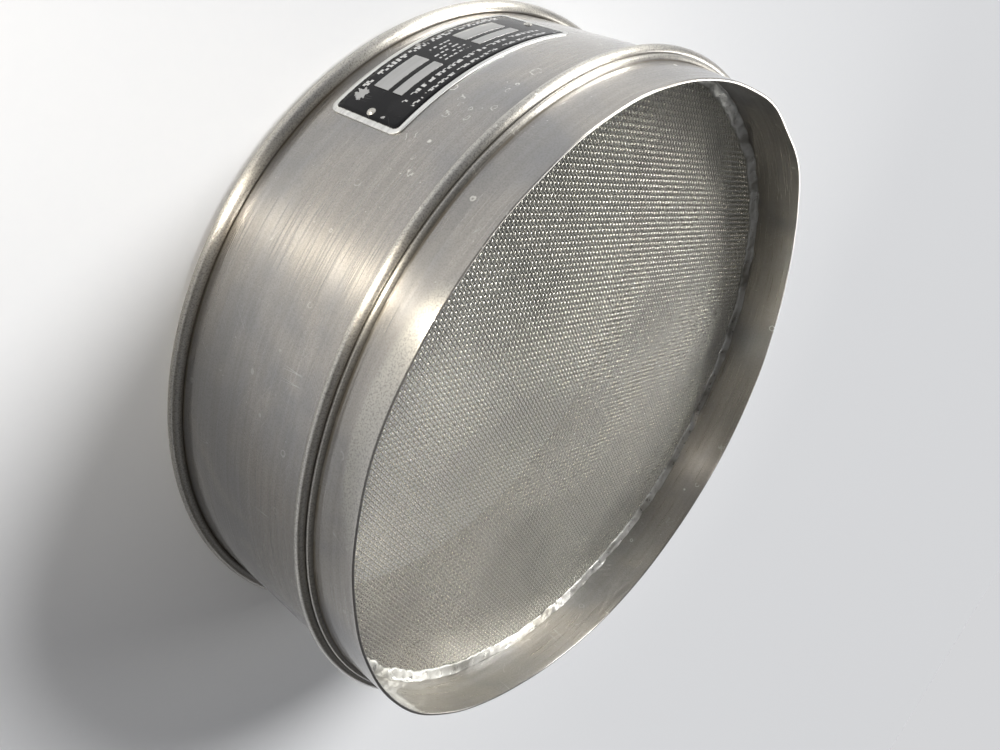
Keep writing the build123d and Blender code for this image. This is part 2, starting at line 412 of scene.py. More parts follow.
class Effects:
    """The shared effects, each built once as a node group."""

    def __init__(self) -> None:
        """Builds every group."""
        self.place, self.brushing, self.mottle = self._place(), self._brushing(), self._mottle()
        self.marks, self.scratches, self.slab = self._marks(), self._scratches(), self._slab()

    @staticmethod
    def _place() -> Tree:
        """Place on a cylinder: degrees from -Y, height, radius, the turn as a unit vector, and millimetres unrolled."""
        group = Group("place_on_cylinder", "Object", {}, ("Azimuth", "Height", "Radius"), ("Turn", "Flat"))
        s = group.sheet
        x, y, z = s.split(s.scaled(group.given["Object"], 1 / MM))
        radius = s.calc("SQRT", s.times_plus(x, x, s.times(y, y)))
        azimuth = s.calc("DEGREES", s.calc("ARCTAN2", x, s.times(y, -1.0)))
        turn = s.compose(s.over(x, radius), s.over(y, radius), 0.0)
        flat = s.compose(s.times(azimuth, ARC_PER_DEGREE), z, 0.0)
        return group.give(Azimuth=azimuth, Height=z, Radius=radius, Turn=turn, Flat=flat)

    @staticmethod
    def _brushing() -> Tree:
        """Fine lines round the axis: noise that is stretched along the turn and packed across it, fine and coarse."""
        group = Group("brushing", "Turn", {"Across": 0.0, "Stretch": 3.0, "Lines": 3.0}, ("Fine", "Coarse"))
        s, given = group.sheet, group.given
        for label, lines, stretch, detail in (("Fine", 1.0, 1.0, 3.0), ("Coarse", 0.18, 0.45, 2.0)):
            turn = s.scaled(given["Turn"], s.times(given["Stretch"], stretch))
            across = s.times(given["Across"], s.times(given["Lines"], lines))
            place = s.vector("ADD", turn, s.compose(0.0, 0.0, across))
            group.give(**{label: s.noise(place, 1.0, detail, 0.6)})
        return group.tree

    @staticmethod
    def _marks() -> Tree:
        """Dried drops: a thin ring round some of the cells of a cell texture, and dots at the middle of others."""
        group = Group("dried_drops", "Flat", {"Size": 4.0, "Share": 0.3}, ("Rings", "Dots"))
        s, given = group.sheet, group.given
        scale = s.over(1.0, given["Size"])
        warp = s.add("TexNoise", {"Vector": given["Flat"], "Scale": 0.9}).outputs[1]
        cell = s.cells(s.vector("MULTIPLY_ADD", warp, (0.7, 0.7, 0.0), given["Flat"]), scale)
        chance, extent, _ = s.split(cell.outputs[1])
        away = s.size(s.less(cell.outputs[0], s.times_plus(extent, 0.16, 0.1)))
        rings = s.times(s.remap(away, 0.05, 0.015), s.calc("LESS_THAN", chance, given["Share"]))
        grain = s.cells(given["Flat"], s.times(scale, 1.9))
        chosen = s.calc("LESS_THAN", s.split(grain.outputs[1])[0], s.times(given["Share"], 1.4))
        return group.give(Rings=rings, Dots=s.times(s.remap(grain.outputs[0], 0.11, 0.05), chosen))

    @staticmethod
    def _scratches() -> Tree:
        """Hairline scratches: the zero line of a stretched noise, kept only where a second noise is high."""
        group = Group("scratches", "Flat", {"Density": 0.08}, ("Lines",))
        s, given = group.sheet, group.given
        total: Feed = 0.0
        for turn, seed in ((0.5, 3.0), (-0.9, 11.0), (1.45, 23.0)):
            spun = s.spin(given["Flat"], turn)
            moved = s.vector("MULTIPLY_ADD", spun, (0.02, 0.5, 1.0), (seed, seed, 0.0))
            line = s.remap(s.size(s.less(s.noise(moved, 1.0, 0.0), 0.5)), 0.006, 0.001)
            keep = s.remap(s.noise(s.vector("ADD", spun, (seed, 0.0, 0.0)), given["Density"], 1.0), 0.6, 0.68)
            total = s.most(total, s.times(line, keep))
        return group.give(Lines=total)

    @staticmethod
    def _mottle() -> Tree:
        """Handling haze and grain: a broad soft noise, a mid one and a fine one in millimetre scale."""
        group = Group("mottle", "Object", {"Broad": 30.0, "Grain": 0.4}, ("Haze", "Patch", "Grain"))
        s, given = group.sheet, group.given
        place = s.scaled(given["Object"], 1 / MM)
        return group.give(
            Haze=s.noise(place, s.over(1.0, given["Broad"]), 3.0, 0.55, 0.4),
            Patch=s.noise(place, s.over(5.0, given["Broad"]), 3.0, 0.6),
            Grain=s.noise(place, s.over(1.0, given["Grain"]), 2.0, 0.6),
        )

    @staticmethod
    def _slab() -> Tree:
        """Distance inside a rounded rectangle in the XZ plane: the corner less the length outside the shrunk box."""
        floats = {"Middle X": 0.0, "Middle Z": 0.0, "Half X": 1.0, "Half Z": 1.0, "Corner": 0.2}
        group = Group("rounded_slab", "Place", floats, ("Inside",))
        s, given = group.sheet, group.given
        x, _, z = s.split(given["Place"])
        outside = []
        for value, axis in ((x, "X"), (z, "Z")):
            away = s.size(s.less(value, given[f"Middle {axis}"]))
            outside.append(s.less(away, s.less(given[f"Half {axis}"], given["Corner"])))
        past_x, past_z = (s.most(value, 0.0) for value in outside)
        length = s.calc("SQRT", s.times_plus(past_x, past_x, s.times(past_z, past_z)))
        within = s.calc("MINIMUM", s.most(*outside), 0.0)
        return group.give(Inside=s.less(s.less(given["Corner"], length), within))


def new_material(name: str) -> tuple[Material, Sheet, Node]:
    """Makes a material with one Principled shader.

    Args:
        name: the material's name.

    Returns:
        The material, its sheet and the shader.
    """
    material = bpy.data.materials.new(name)
    material.use_nodes = True
    material.node_tree.nodes.clear()
    sheet = Sheet(material.node_tree)
    shader = sheet.add("BsdfPrincipled")
    sheet.add("OutputMaterial", {"Surface": shader.outputs[0]})
    return material, sheet, shader


# Finishes

@dataclass(frozen=True)
class Finish:
    """A finish: its fields are what can vary, and paint() feeds one Principled shader."""

    name: str

    def dress(self, effects: Effects) -> Material:
        """Builds the material.

        Args:
            effects: the shared effects.

        Returns:
            The material.
        """
        material, sheet, shader = new_material(self.name)
        self.paint(effects, sheet, shader, sheet.where())
        return material

    def paint(self, effects: Effects, s: Sheet, shader: Node, where: Socket) -> None:
        """Feeds the shader, in each finish's own way.

        Args:
            effects: the shared effects.
            s: the material's sheet.
            shader: its shader.
            where: the object's own coordinates.
        """
        raise NotImplementedError


SPLASHES = (
    (11.8, 38.5, 0.95), (11.2, 44.3, 0.8), (8.2, 37.5, 0.9), (9.4, 39.5, 0.6), (9.5, 42.6, 0.85), (8.0, 47.6, 1.0),
    (-1.5, 45.6, 1.6), (17.0, 35.9, 1.7), (4.1, 45.8, 0.7), (19.5, 41.2, 0.6), (21.5, 43.5, 1.1), (8.0, 26.8, 0.7),
    (-16.4, 43.9, 0.9), (-21.2, 45.6, 0.8),
)  # dried drops between the plate and the bead: degrees from the front, height and radius in millimetres


@dataclass(frozen=True)
class SpunSteel(Finish):
    """Stainless sheet, spun and brushed round the axis: dried drops, hairlines, specks, rolls lightened by a painted
    sheen, creases darkened by painted shade and grime.
    """

    creases: tuple[float, ...]
    colour: Colour = (0.40, 0.372, 0.332)
    haze_colour: Colour = (0.30, 0.295, 0.292)
    line_colour: Colour = (0.24, 0.225, 0.20)
    speck_colour: Colour = (0.16, 0.15, 0.14)
    # painted sheen: the rolls are made lighter than the wall, though both are one sheet
    roll_sheen: Colour = (0.60, 0.575, 0.51)
    # painted shade in the creases, together with grime
    grime_and_shade: Colour = (0.10, 0.085, 0.06)
    film: Colour = (0.88, 0.88, 0.85)
    roughness: float = 0.29
    anisotropy: float = 0.88
    lines: float = 3.2
    drops: float = 0.3
    roll_radius: float = 102.95
    roll_blend: float = 0.35
    stipple: float = 0.036
    crease_radius: float = 102.9
    coat: float = 0.8
    coat_roughness: float = 0.07
    coat_ior: float = 2.1
    loops: tuple[tuple[float, float, float], ...] = ()

    def splashes(self, s: Sheet, flat: Socket) -> Feed:
        """Draws the placed drops: broken, wavy rings.

        Args:
            s: the material's sheet.
            flat: place on the wall, in millimetres.

        Returns:
            Their mask.
        """
        warp = s.add("TexNoise", {"Vector": flat, "Scale": 0.7}).outputs[1]
        ragged = s.vector("MULTIPLY_ADD", s.vector("SUBTRACT", warp, (0.5, 0.5, 0.0)), (2.4, 2.4, 0.0), flat)
        broken = s.remap(s.noise(flat, 0.55, 1.0), 0.4, 0.56, 0.12, 0.75)
        total: Feed = 0.0
        for turned_by, level, size in self.loops:
            spot = s.vector("SUBTRACT", ragged, (turned_by * ARC_PER_DEGREE, level, 0.0))
            oval = {0: s.vector("MULTIPLY", spot, (1.0, 1.5, 0.0))}
            away = s.less(s.add("VectorMath", oval, operation="LENGTH").outputs[1], size)
            total = s.most(total, s.remap(s.size(away), 0.28, 0.05, 0.0, broken))
        return total

    def crease_shade_and_grime(self, s: Sheet, height: Socket, radius: Socket, patch: Socket) -> Socket:
        """Finds the creases beside the rolls, which get painted shade with grime.

        Args:
            s: the material's sheet.
            height: height in millimetres.
            radius: radius in millimetres.
            patch: breaks the grime up.

        Returns:
            Its mask.
        """
        # a band at each crease height near the wall's face: painted shade, broken up by a patch noise like grime
        crease: Feed = 0.0
        for level in self.creases:
            crease = s.most(crease, s.remap(s.size(s.less(height, level)), 0.75, 0.1))
        crease = s.times(crease, s.remap(radius, self.crease_radius, self.crease_radius - 0.25))
        crease = s.times(crease, s.remap(radius, self.crease_radius - 0.7, self.crease_radius - 0.55))
        return s.times(crease, s.remap(patch, 0.3, 0.55, 0.55, 1.0))

    def paint(self, effects: Effects, s: Sheet, shader: Node, where: Socket) -> None:
        """Lays brushing, haze, drops and specks on the steel, a painted sheen on the rolls, and painted shade with
        grime in the creases.
        """
        azimuth, height, radius, turn, flat = s.use(effects.place, Object=where)
        across = s.plus(height, radius)
        fine, coarse = s.use(effects.brushing, Turn=turn, Across=across, Stretch=4.0, Lines=self.lines)
        haze, patch, grain = s.use(effects.mottle, Object=where, Broad=34.0, Grain=0.42)
        rings, dots = s.use(effects.marks, Flat=flat, Size=4.2, Share=self.drops)
        hair = s.use(effects.scratches, Flat=flat, Density=0.07)[0]
        splashed = s.times(s.remap(patch, 0.44, 0.56), s.remap(azimuth, 12.0, 40.0, 1.0, 0.3))
        marks = s.most(s.times(s.most(rings, dots), splashed), self.splashes(s, flat))
        roll = s.remap(radius, self.roll_radius, self.roll_radius + self.roll_blend)
        crease = self.crease_shade_and_grime(s, height, radius, patch)
        worst = s.most(marks, crease)
        dull = s.remap(haze, 0.40, 0.64)
        toned = s.mix(dull, self.colour, self.haze_colour)
        lined = s.mix(s.remap(coarse, 0.32, 0.66, 0.0, 0.3), toned, self.line_colour)
        # a painted sheen lightens the rolls
        rolled = s.mix(s.times(roll, 0.75), lined, self.roll_sheen)
        specks = s.remap(grain, 0.42, 0.68, 0.0, s.times_plus(roll, 0.25, 0.3))
        # darkens the creases with painted shade and grime
        specked_and_crease_shaded = s.mix(s.times(crease, 0.85), s.mix(specks, rolled, self.speck_colour), self.grime_and_shade)
        rough = s.remap(fine, 0.25, 0.75, self.roughness - 0.07, self.roughness + 0.09)
        for mask, gain in ((s.less(grain, 0.5), 0.08), (roll, 0.05), (dull, 0.06), (worst, 0.18)):
            rough = s.times_plus(mask, gain, rough)
        relief = s.times(s.less(fine, 0.5), 0.0032)
        for mask, rise in ((s.times(grain, roll), self.stipple), (hair, -0.005), (marks, 0.006)):
            relief = s.times_plus(mask, rise, relief)
        s.finish(
            shader, s.mix(s.most(s.times(marks, 0.6), s.times(hair, 0.3)), specked_and_crease_shaded, self.film), rough, relief,
            Metallic=s.less(1.0, s.times_plus(crease, 0.4, s.times(marks, 0.55))), Anisotropic=self.anisotropy,
            Tangent=s.add("Tangent", direction_type="UV_MAP", uv_map="flat").outputs[0],
            Coat_Weight=s.less(self.coat, s.times(worst, 0.6)),
            Coat_Roughness=self.coat_roughness, Coat_IOR=self.coat_ior,
        )


@dataclass(frozen=True)
class DrawnWire(Finish):
    """Bright drawn wire with streaks along each wire and grey patches where it has dulled."""

    heading: float
    colour: Colour = (0.90, 0.88, 0.80)
    dull_colour: Colour = (0.52, 0.51, 0.47)
    roughness: float = 0.24

    def paint(self, effects: Effects, s: Sheet, shader: Node, where: Socket) -> None:
        """Lays streaks and dull patches on the wires."""
        haze, _, grain = s.use(effects.mottle, Object=where, Broad=45.0, Grain=0.25)
        spun = s.spin(where, -math.radians(self.heading))
        streak = s.noise(s.vector("MULTIPLY", spun, (12.0, 880.0, 12.0)), 1.0, 1.0)
        dull = s.plus(s.remap(haze, 0.35, 0.7, 0.0, 0.55), s.remap(streak, 0.4, 0.7, 0.0, 0.4))
        rough = s.remap(grain, 0.3, 0.7, self.roughness - 0.05, self.roughness + 0.06)
        colour = s.mix(dull, self.colour, self.dull_colour)
        s.finish(shader, colour, s.times_plus(dull, 0.12, rough), grain, 0.006 * MM, Metallic=1.0)


@dataclass(frozen=True)
class RunSolder(Finish):
    """Hand-run solder: dull grey skin, brighter where it set smooth, pitted and grained."""

    colour: Colour = (0.62, 0.62, 0.59)
    dark_colour: Colour = (0.26, 0.25, 0.22)

    def paint(self, effects: Effects, s: Sheet, shader: Node, where: Socket) -> None:
        """Lays dark haze, pits and grain on the solder."""
        haze, patch, grain = s.use(effects.mottle, Object=where, Broad=11.0, Grain=0.5)
        pits = s.remap(s.cells(s.scaled(where, 1 / MM), 0.9).outputs[0], 0.28, 0.1)
        pits = s.times(pits, s.remap(patch, 0.5, 0.6))
        tone = s.most(s.remap(haze, 0.46, 0.66, 0.0, 0.8), pits)
        rough = s.times_plus(pits, 0.2, s.remap(patch, 0.3, 0.7, 0.26, 0.46))
        relief = s.times_plus(pits, -0.08, s.times_plus(grain, 0.05, s.times(patch, 0.25)))
        s.finish(shader, s.mix(tone, self.colour, self.dark_colour), rough, relief, Metallic=0.8)


@dataclass(frozen=True)
class Bar:
    """A rectangle on the plate: middle and half sizes."""

    x: float
    z: float
    half_x: float
    half_z: float


@dataclass(frozen=True)
class EnamelledPlate(Finish):
    """Black enamel on a bare plate: the border and panels are bare, the border lightened by a painted highlight, plain
    dashes are printed, the paint is chipped.
    """

    field: Bar
    corner: float
    border: float
    panels: tuple[Bar, ...]
    bars: tuple[Bar, ...]
    chips: tuple[Bar, ...]
    enamel: Colour = (0.004, 0.004, 0.005)
    dust: Colour = (0.12, 0.12, 0.13)
    scratch: Colour = (0.22, 0.22, 0.22)
    ink: Colour = (0.46, 0.47, 0.48)
    # the border's colour: the bare plate lightened by a painted highlight
    metal_and_highlight: Colour = (0.80, 0.80, 0.78)
    panel_metal: Colour = (0.50, 0.50, 0.495)
    worn_metal: Colour = (0.40, 0.40, 0.39)

    def paint(self, effects: Effects, s: Sheet, shader: Node, where: Socket) -> None:
        """Lays the bare surface with a painted highlight on the border, the enamel, the dashes and the chips on the
        plate.
        """
        place = s.scaled(where, 1 / MM)
        haze, patch, grain = s.use(effects.mottle, Object=where, Broad=9.0, Grain=0.3)
        _, height, _, turn, flat = s.use(effects.place, Object=where)
        fine, coarse = s.use(effects.brushing, Turn=turn, Across=height, Stretch=9.0, Lines=5.0)
        hair = s.use(effects.scratches, Flat=flat, Density=0.12)[0]
        wobble = s.times(s.less(s.noise(place, 1.6, 2.0), 0.5), 0.22)

        def inside(bar: Bar, corner: float) -> Socket:
            """Returns the distance inside one bar."""
            return s.use(
                effects.slab, Place=place, Middle_X=bar.x, Middle_Z=bar.z, Half_X=bar.half_x, Half_Z=bar.half_z,
                Corner=corner,
            )[0]

        bound = s.plus(inside(self.field, self.corner), wobble)
        rim = bare = s.remap(bound, self.border - 0.12, self.border + 0.12, 1.0, 0.0)
        for panel in self.panels:
            bare = s.most(bare, s.remap(s.plus(inside(panel, 0.25), s.times(wobble, 0.5)), -0.06, 0.06))
        ragged = s.times(s.less(s.noise(place, 0.75, 4.0, 0.65), 0.5), 4.2)
        for chip in self.chips:
            bare = s.most(bare, s.remap(s.plus(inside(chip, min(chip.half_x, chip.half_z)), ragged), 0.0, 0.1))
        x, _, z = s.split(place)
        along = s.times_plus(x, 0.62, s.times(s.calc("FLOOR", s.over(z, 1.6)), 17.3))
        dash = {"W": along, "Scale": 1.0, "Randomness": 0.55}
        dash = s.add("TexVoronoi", dash, voronoi_dimensions="1D").outputs[0]
        words = {"W": along, "Scale": 0.42, "Detail": 0.0}
        words = s.add("TexNoise", words, noise_dimensions="1D").outputs[0]
        printed: Feed = 0.0
        for bar in self.bars:
            printed = s.most(printed, s.remap(inside(bar, 0.1), -0.05, 0.05))
        for mask in (s.remap(dash, 0.33, 0.27), s.remap(words, 0.38, 0.41), s.remap(patch, 0.34, 0.44, 0.6, 1.0)):
            printed = s.times(printed, mask)
        dusty = s.mix(s.remap(haze, 0.45, 0.75, 0.0, 0.06), self.enamel, self.dust)
        painted = s.mix(printed, s.mix(s.times(hair, 0.6), dusty, self.scratch), self.ink)
        # the border is lighter than the panels and chips: a painted highlight
        metal_and_highlight = s.mix(rim, self.panel_metal, self.metal_and_highlight)
        worn = s.mix(s.remap(coarse, 0.35, 0.7, 0.0, 0.4), metal_and_highlight, self.worn_metal)
        rough = {0: bare, 2: s.remap(patch, 0.3, 0.7, 0.10, 0.20), 3: s.remap(fine, 0.3, 0.7, 0.28, 0.42)}
        rough = s.add("Mix", rough, data_type="FLOAT").outputs[0]
        relief = s.times(bare, -0.03)
        for mask, rise in ((grain, 0.004), (printed, 0.012), (hair, -0.006)):
            relief = s.times_plus(mask, rise, relief)
        colour = s.mix(bare, painted, worn)
        s.finish(shader, colour, rough, relief, Metallic=s.times(bare, 0.95), Specular_IOR_Level=0.15)


@dataclass(frozen=True)
class PinHead(Finish):
    """Worn bright pin head with grime spots and painted shade at its foot."""

    colour: Colour = (0.68, 0.66, 0.61)
    # painted shade at the foot, and grime spots
    grime_and_shade: Colour = (0.2, 0.19, 0.17)

    def paint(self, effects: Effects, s: Sheet, shader: Node, where: Socket) -> None:
        """Lays wear, grime spots and painted shade at the foot on the head."""
        radius = s.use(effects.place, Object=where)[2]
        _, patch, grain = s.use(effects.mottle, Object=where, Broad=3.0, Grain=0.2)
        # painted shade where the head meets the wall, with grime spots from a patch noise
        foot_shade_and_grime = s.most(s.remap(radius, 102.95, 102.75), s.remap(patch, 0.5, 0.7, 0.0, 0.5))
        colour, rough = s.mix(foot_shade_and_grime, self.colour, self.grime_and_shade), s.remap(grain, 0.3, 0.7, 0.24, 0.42)
        s.finish(shader, colour, rough, grain, 0.02 * MM, Metallic=1.0)


# Sub-assemblies

@dataclass
class SpunBody:
    """The bowl's wall with its rolled rim and bead, one sheet."""

    effects: Effects
    sheet: float = 0.76
    bore: float = 101.7
    height: float = 56.2
    foot: float = 0.005
    rim_radius: float = 1.944
    bead_radius: float = 1.45
    flare: float = 0.1
    flare_start: float = 52.0
    rim_sweep: float = 298.0
    bead_sweep: float = 290.0
    steps: int = 448
    waviness: float = 0.07
    seeds: tuple[int, int] = (5, 8)
    creases: tuple[float, float] = (3.62, 53.35)

    def profile(self) -> Array:
        """Closed section: up the bore, round the bead, back inside it, down the outer face and round the rim."""
        half = self.sheet / 2
        rim = (self.bore + self.rim_radius, self.foot + self.rim_radius)
        bead = (self.bore + self.flare + self.bead_radius, self.height - self.bead_radius)
        wall = self.bore + self.sheet
        rim_end, bead_end = 180 + self.rim_sweep, 180 - self.bead_sweep
        rim_tip = arc_points(rim, self.rim_radius - half, rim_end, 0, 1)[0]
        bead_tip = arc_points(bead, self.bead_radius - half, bead_end, 0, 1)[0]
        return np.concatenate([
            arc_points(rim, self.rim_radius, rim_end, -self.rim_sweep, 38),
            line_points((self.bore, rim[1]), (self.bore, self.flare_start), 5),
            [[self.bore, self.flare_start]],
            arc_points(bead, self.bead_radius, 180, -self.bead_sweep, 30),
            arc_points(bead_tip, half, bead_end, -180, 6)[1:-1],
            arc_points(bead, self.bead_radius - self.sheet, bead_end, self.bead_sweep, 9),
            [[wall, self.flare_start]],
            line_points((wall, self.flare_start), (wall, rim[1]), 14),
            arc_points(rim, self.rim_radius - self.sheet, 180, self.rim_sweep, 10),
            arc_points(rim_tip, half, rim_end + 180, -180, 6)[1:-1],
        ])

    def build(self) -> Object:
        """Makes the mesh: the section carried round, with a slight wave in the wall that fades out at the rolls."""
        section, angle = self.profile(), full_turn(self.steps)
        free = np.sin(np.pi * np.clip((section[:, 1] - 4) / (self.height - 8), 0, 1)) ** 0.7
        bulge = ripple(angle, range(3, 12), self.seeds[0])[None, :] * free[:, None]
        twist = ripple(angle, range(5, 17), self.seeds[1])[None, :] * (free * np.cos(section[:, 1] / 9))[:, None]
        return make_piece("spun_body", [turned(section, self.steps, self.waviness * (bulge + 0.5 * twist))])

    def dress(self, piece: Object) -> None:
        """Finishes the body."""
        finish = SpunSteel("spun_steel_body", self.creases, drops=0.16, loops=SPLASHES)
        install(piece, "frame_body", finish.dress(self.effects))


@dataclass
class NestingSkirt:
    """The lower ring with its folded lip; its free edge is out of round and knocked in at one place."""

    effects: Effects
    outer: float = 101.2
    sheet: float = 0.76
    neck_end: float = 55.1
    lip_height: float = 56.6
    lip_center: float = 101.99
    root: float = 0.3
    top: float = 71.39
    edge: float = 0.18
    steps: int = 448
    ovals: tuple[tuple[int, float, float], ...] = ((2, 0.58, -41.8), (3, 0.46, -19.0), (4, 0.63, 29.8), (6, 0.5, 25.3))
    dent_azimuth: float = -146.0
    dent_depth: float = 0.9
    waviness: float = 0.06
    creases: tuple[float] = (57.5,)

    def profile(self) -> Array:
        """Closed section: up the inside, over the edge, down the outside, round the lip and back to the neck."""
        inner, outer, edge, root = self.outer - self.sheet, self.outer, self.edge, self.root
        lip_top, lip_bottom = self.lip_height + self.sheet, self.lip_height - self.sheet
        return np.concatenate([
            [[inner, self.neck_end]],
            line_points((inner, self.neck_end), (inner, self.top), 13),
            arc_points((inner + edge, self.top - edge), edge, 180, -90, 4),
            arc_points((outer - edge, self.top - edge), edge, 90, -90, 4),
            line_points((outer, self.top - edge), (outer, lip_top + root), 13),
            arc_points((outer + root, lip_top + root), root, 180, 90, 4),
            arc_points((self.lip_center, self.lip_height), self.sheet, 90, -180, 12),
            arc_points((outer + root, lip_bottom - root), root, 90, 90, 4)[:-1],
            [[outer, lip_bottom - root - 0.02]],
            [[outer, self.neck_end]],
        ])

    def build(self) -> Object:
        """Makes the mesh.

        The radius gains a sum of cosines of 2, 3, 4 and 6 waves, less a narrow dent, times a smooth step that is 0 at
        the lip and 1 at the free edge.
        """
        section, angle = self.profile(), full_turn(self.steps)
        reach = ease(section[:, 1], self.lip_height + 1.5, self.top)[:, None]
        oval = sum(size * np.cos(order * (angle - np.radians(at))) for order, size, at in self.ovals)
        dent = self.dent_depth * bell(angle, self.dent_azimuth, 7) - 0.5 * bell(angle, self.dent_azimuth - 13, 6)
        wave = self.waviness * ripple(angle, range(9, 30), 12)
        return make_piece("nesting_skirt", [turned(section, self.steps, reach * (oval - dent + wave)[None, :])])

    def dress(self, piece: Object) -> None:
        """Finishes the skirt."""
        finish = SpunSteel(
            "spun_steel_skirt", self.creases, roughness=0.31, lines=2.8, drops=0.12, roll_radius=101.55,
            stipple=0.008, crease_radius=101.6,
        )
        install(piece, "skirt", finish.dress(self.effects))


class Family(Enum):
    """The two families of wires."""

    WARP = "warp"
    WEFT = "weft"


@dataclass
class WovenCloth:
    """Plain-woven wire cloth, every wire crimped over and under the ones it crosses."""

    effects: Effects
    warp_pitch: float = 1.102
    weft_pitch: float = 1.171
    heading: float = 17.94
    wire: float = 0.425
    middle: float = 54.54
    reach: float = 99.3
    dish: float = 0.55
    dish_edge: float = 7.0
    jitter: float = 0.022
    wander: float = 0.03
    drift: float = 0.1
    plumpness: float = 1.08
    seeds: tuple[int, int] = (31, 47)
    parts: int = 3

    def wires(self, family: Family) -> Shell:
        """Makes all the wires of one family.

        A wire's height is the crimp, half a wire times the cosine of half a turn per crossing, with the sign changing
        from wire to wire and opposite in the two families. A smooth step near the edge lifts the cloth to the joint.
        The section is a four-sided ring. Every wire wanders by a slow seeded wave.

        Args:
            family: which wires.

        Returns:
            The wires, ordered by their offset.
        """
        warp = family is Family.WARP
        pitch, crossed = (self.warp_pitch, self.weft_pitch) if warp else (self.weft_pitch, self.warp_pitch)
        chance = np.random.default_rng(self.seeds[0 if warp else 1])
        count, samples = int(self.reach / pitch), 2 * int(self.reach / crossed)
        index = np.arange(-count, count + 1)
        step = np.arange(-samples, samples + 1)
        along = np.broadcast_to(step * crossed / 2, (len(index), len(step)))
        offset = (index * pitch + chance.normal(0, self.jitter, len(index)))[:, None]
        phase = chance.uniform(0, 2 * np.pi, (len(index), 1))
        across = offset + self.wander * np.sin(along / 7 + phase)
        across = across + self.drift * np.sin(along / 43 + index[:, None] / 60)
        hand = 1 if warp else -1
        sign = np.where(index % 2 == 0, hand, -hand)[:, None]
        crimp = self.wire / 2 * sign * np.cos(np.pi * along / crossed)
        radius = np.hypot(along, across)
        height = self.middle - self.dish * (1 - ease(radius, self.reach - self.dish_edge, self.reach)) + crimp
        spin = np.radians(self.heading + (90 if warp else 0))
        forward = np.array([np.cos(spin), np.sin(spin), 0.0])
        side = hand * np.array([np.sin(spin), -np.cos(spin), 0.0])
        centre = along[..., None] * forward + across[..., None] * side
        centre[..., 2] = height
        ring = np.array([side, [0.0, 0.0, 1.0], -side, [0.0, 0.0, -1.0]]) * self.wire / 2 * self.plumpness
        points = (centre[:, :, None, :] + ring).reshape(-1, 3)
        inside = radius < self.reach
        use = inside[:, :-1] & inside[:, 1:]
        fenced = np.pad(use, ((0, 0), (1, 1)))
        row, col = np.nonzero(use)
        start_row, start_col = np.nonzero(use & ~fenced[:, :-2])
        end_row, end_col = np.nonzero(use & ~fenced[:, 2:])
        ringed = np.arange(4)
        following = (ringed + 1) % 4
        base = ((row * len(step) + col) * 4)[:, None]
        quads = np.stack([base + ringed, base + following, base + 4 + following, base + 4 + ringed], -1)
        start_caps = ((start_row * len(step) + start_col) * 4)[:, None] + ringed[::-1]
        end_caps = ((end_row * len(step) + end_col + 1) * 4)[:, None] + ringed
        owner = np.concatenate([np.repeat(row, 4), start_row, end_row])
        faces = np.concatenate([quads.reshape(-1, 4), start_caps, end_caps])[np.argsort(owner, kind="stable")]
        if not warp:
            faces = faces[:, ::-1]
        used, compact = np.unique(faces, return_inverse=True)
        corner = points[faces.ravel()]
        flat = np.stack([corner @ forward, corner @ side], -1) / 250 + 0.5
        return Shell(points[used], compact.reshape(-1, 4), flat)

    def build(self) -> "list[tuple[Object, Family]]":
        """Makes the cloth in strips of near equal size, so that no piece is too heavy."""
        pieces = []
        for family in Family:
            shell = self.wires(family)
            flat = shell.flat.reshape(-1, 4, 2)
            for number, chosen in enumerate(np.array_split(np.arange(len(shell.faces)), self.parts)):
                used, compact = np.unique(shell.faces[chosen], return_inverse=True)
                strip = Shell(shell.points[used], compact.reshape(-1, 4), flat[chosen].reshape(-1, 2))
                pieces.append((make_piece(f"{family.value}_wires_{number + 1}", [strip]), family))
        return pieces

    def dress(self, pieces: "list[tuple[Object, Family]]") -> None:
        """Finishes the cloth, each family with streaks along its own wires."""
        headings = {Family.WARP: self.heading + 90, Family.WEFT: self.heading}
        materials = {
            family: DrawnWire(f"{family.value}_wire", turn).dress(self.effects) for family, turn in headings.items()
        }
        for piece, family in pieces:
            install(piece, "wire_cloth", materials[family])


